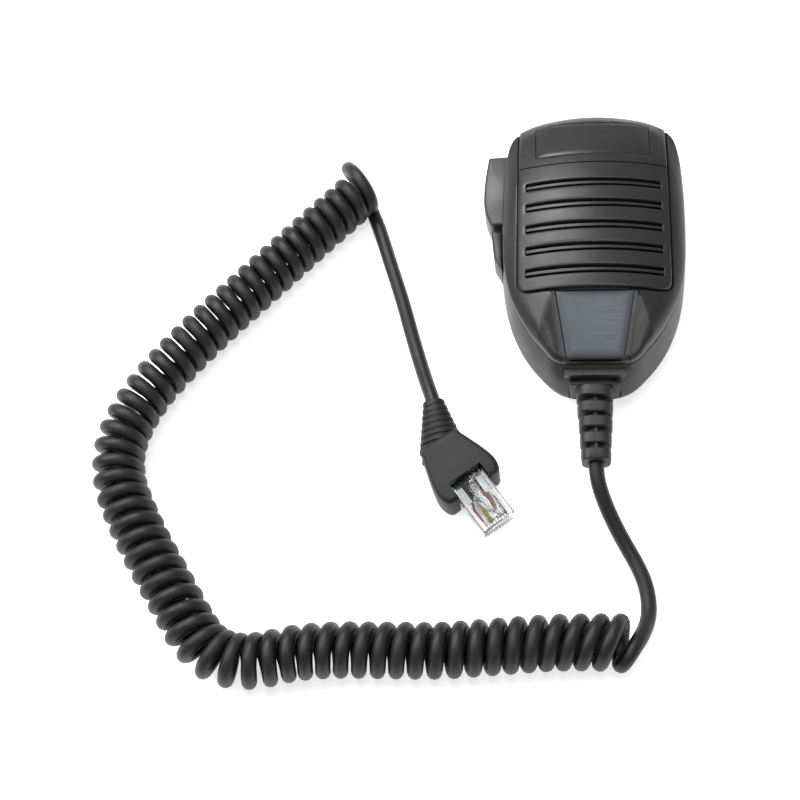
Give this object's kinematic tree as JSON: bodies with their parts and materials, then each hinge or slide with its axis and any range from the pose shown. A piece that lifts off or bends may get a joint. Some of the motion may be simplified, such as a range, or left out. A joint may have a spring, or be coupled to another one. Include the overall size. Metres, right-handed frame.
{
  "type": "hand microphone",
  "caption": "Palm-size hand microphone with louvred grille, side push-to-talk bar, hang button, coiled cord and clear modular plug.",
  "frame": {"origin": "middle of the hang button's outer face, which is on the surface the handset lies on", "axes": "+Z out of the grille, +Y towards the top of the handset, +X to the right as the grille is looked at, so the push-to-talk bar is on -X"},
  "size_m": [0.1946, 0.1961, 0.033],
  "materials": {
    "case_front": "satin moulded, fine spark texture",
    "case_rear": "satin moulded",
    "badge": "gloss, faint blue cast",
    "felt": "fine felt",
    "element_can": "satin",
    "rubber_black": "matte",
    "board": "solder resist",
    "screw_zinc": "zinc plated",
    "screw_black": "black oxide",
    "chip": "moulded",
    "capacitor": "sleeved",
    "connector": "natural nylon",
    "lead_insulation": "coloured insulation",
    "plunger": "moulded",
    "bar": "satin moulded",
    "pin_steel": "ground",
    "button": "moulded",
    "relief": "satin moulded",
    "cord_jacket": "satin",
    "boot": "satin moulded",
    "clear_plug": "clear polycarbonate",
    "gold": "gold plated"
  },
  "bodies": {
    "handset": {"front_shell": "case_front", "rear_shell": "case_rear", "badge_plate": "badge", "top_label_plate": "case_front", "dust_felt": "felt", "mic_element": "element_can", "element_holder": "rubber_black", "circuit_board": "board", "board_screws": "screw_zinc", "amplifier_chip": "chip", "capacitors": "capacitor", "board_connector": "connector", "wire_plug": "connector", "inner_leads": "lead_insulation", "ptt_switch": "chip", "ptt_pin": "pin_steel", "case_screws": "screw_black", "hang_button": "button", "hang_button_screw": "screw_black", "cable_clamp": "case_rear", "clamp_screws": "screw_zinc", "inner_jacket": "cord_jacket", "strain_relief": "relief", "cord_lead_mic": "cord_jacket", "coiled_cord": "cord_jacket", "cord_lead_plug": "cord_jacket", "plug_boot": "boot", "plug_jacket": "cord_jacket", "plug_body": "clear_plug", "plug_contacts": "gold", "plug_wires": "lead_insulation"},
    "talk_bar": {"ptt_bar": "bar"},
    "plunger": {"switch_plunger": "plunger"},
    "latch": {"plug_latch": "clear_plug"}
  },
  "joints": [
    {"name": "ptt_press", "type": "hinge", "parent": "handset", "child": "talk_bar", "pos_m": [-0.0251, 0.032, 0.0148], "axis": [0, 0, 1], "range_deg": [0, 4.5], "stiffness_Nm_per_rad": 0.6},
    {"name": "plunger_slide", "type": "slide", "parent": "handset", "child": "plunger", "axis": [1, 0, 0], "range_m": [0, 0.0015]},
    {"name": "latch_press", "type": "hinge", "parent": "handset", "child": "latch", "pos_m": [-0.03073, -0.09162, 0.0103], "axis": [-0.7986, -0.6018, 0], "range_deg": [0, 8], "stiffness_Nm_per_rad": 0.2}
  ],
  "couplings": [
    {"joint": "plunger_slide", "follows": "ptt_press", "m_per_rad": 0.018}
  ]
}
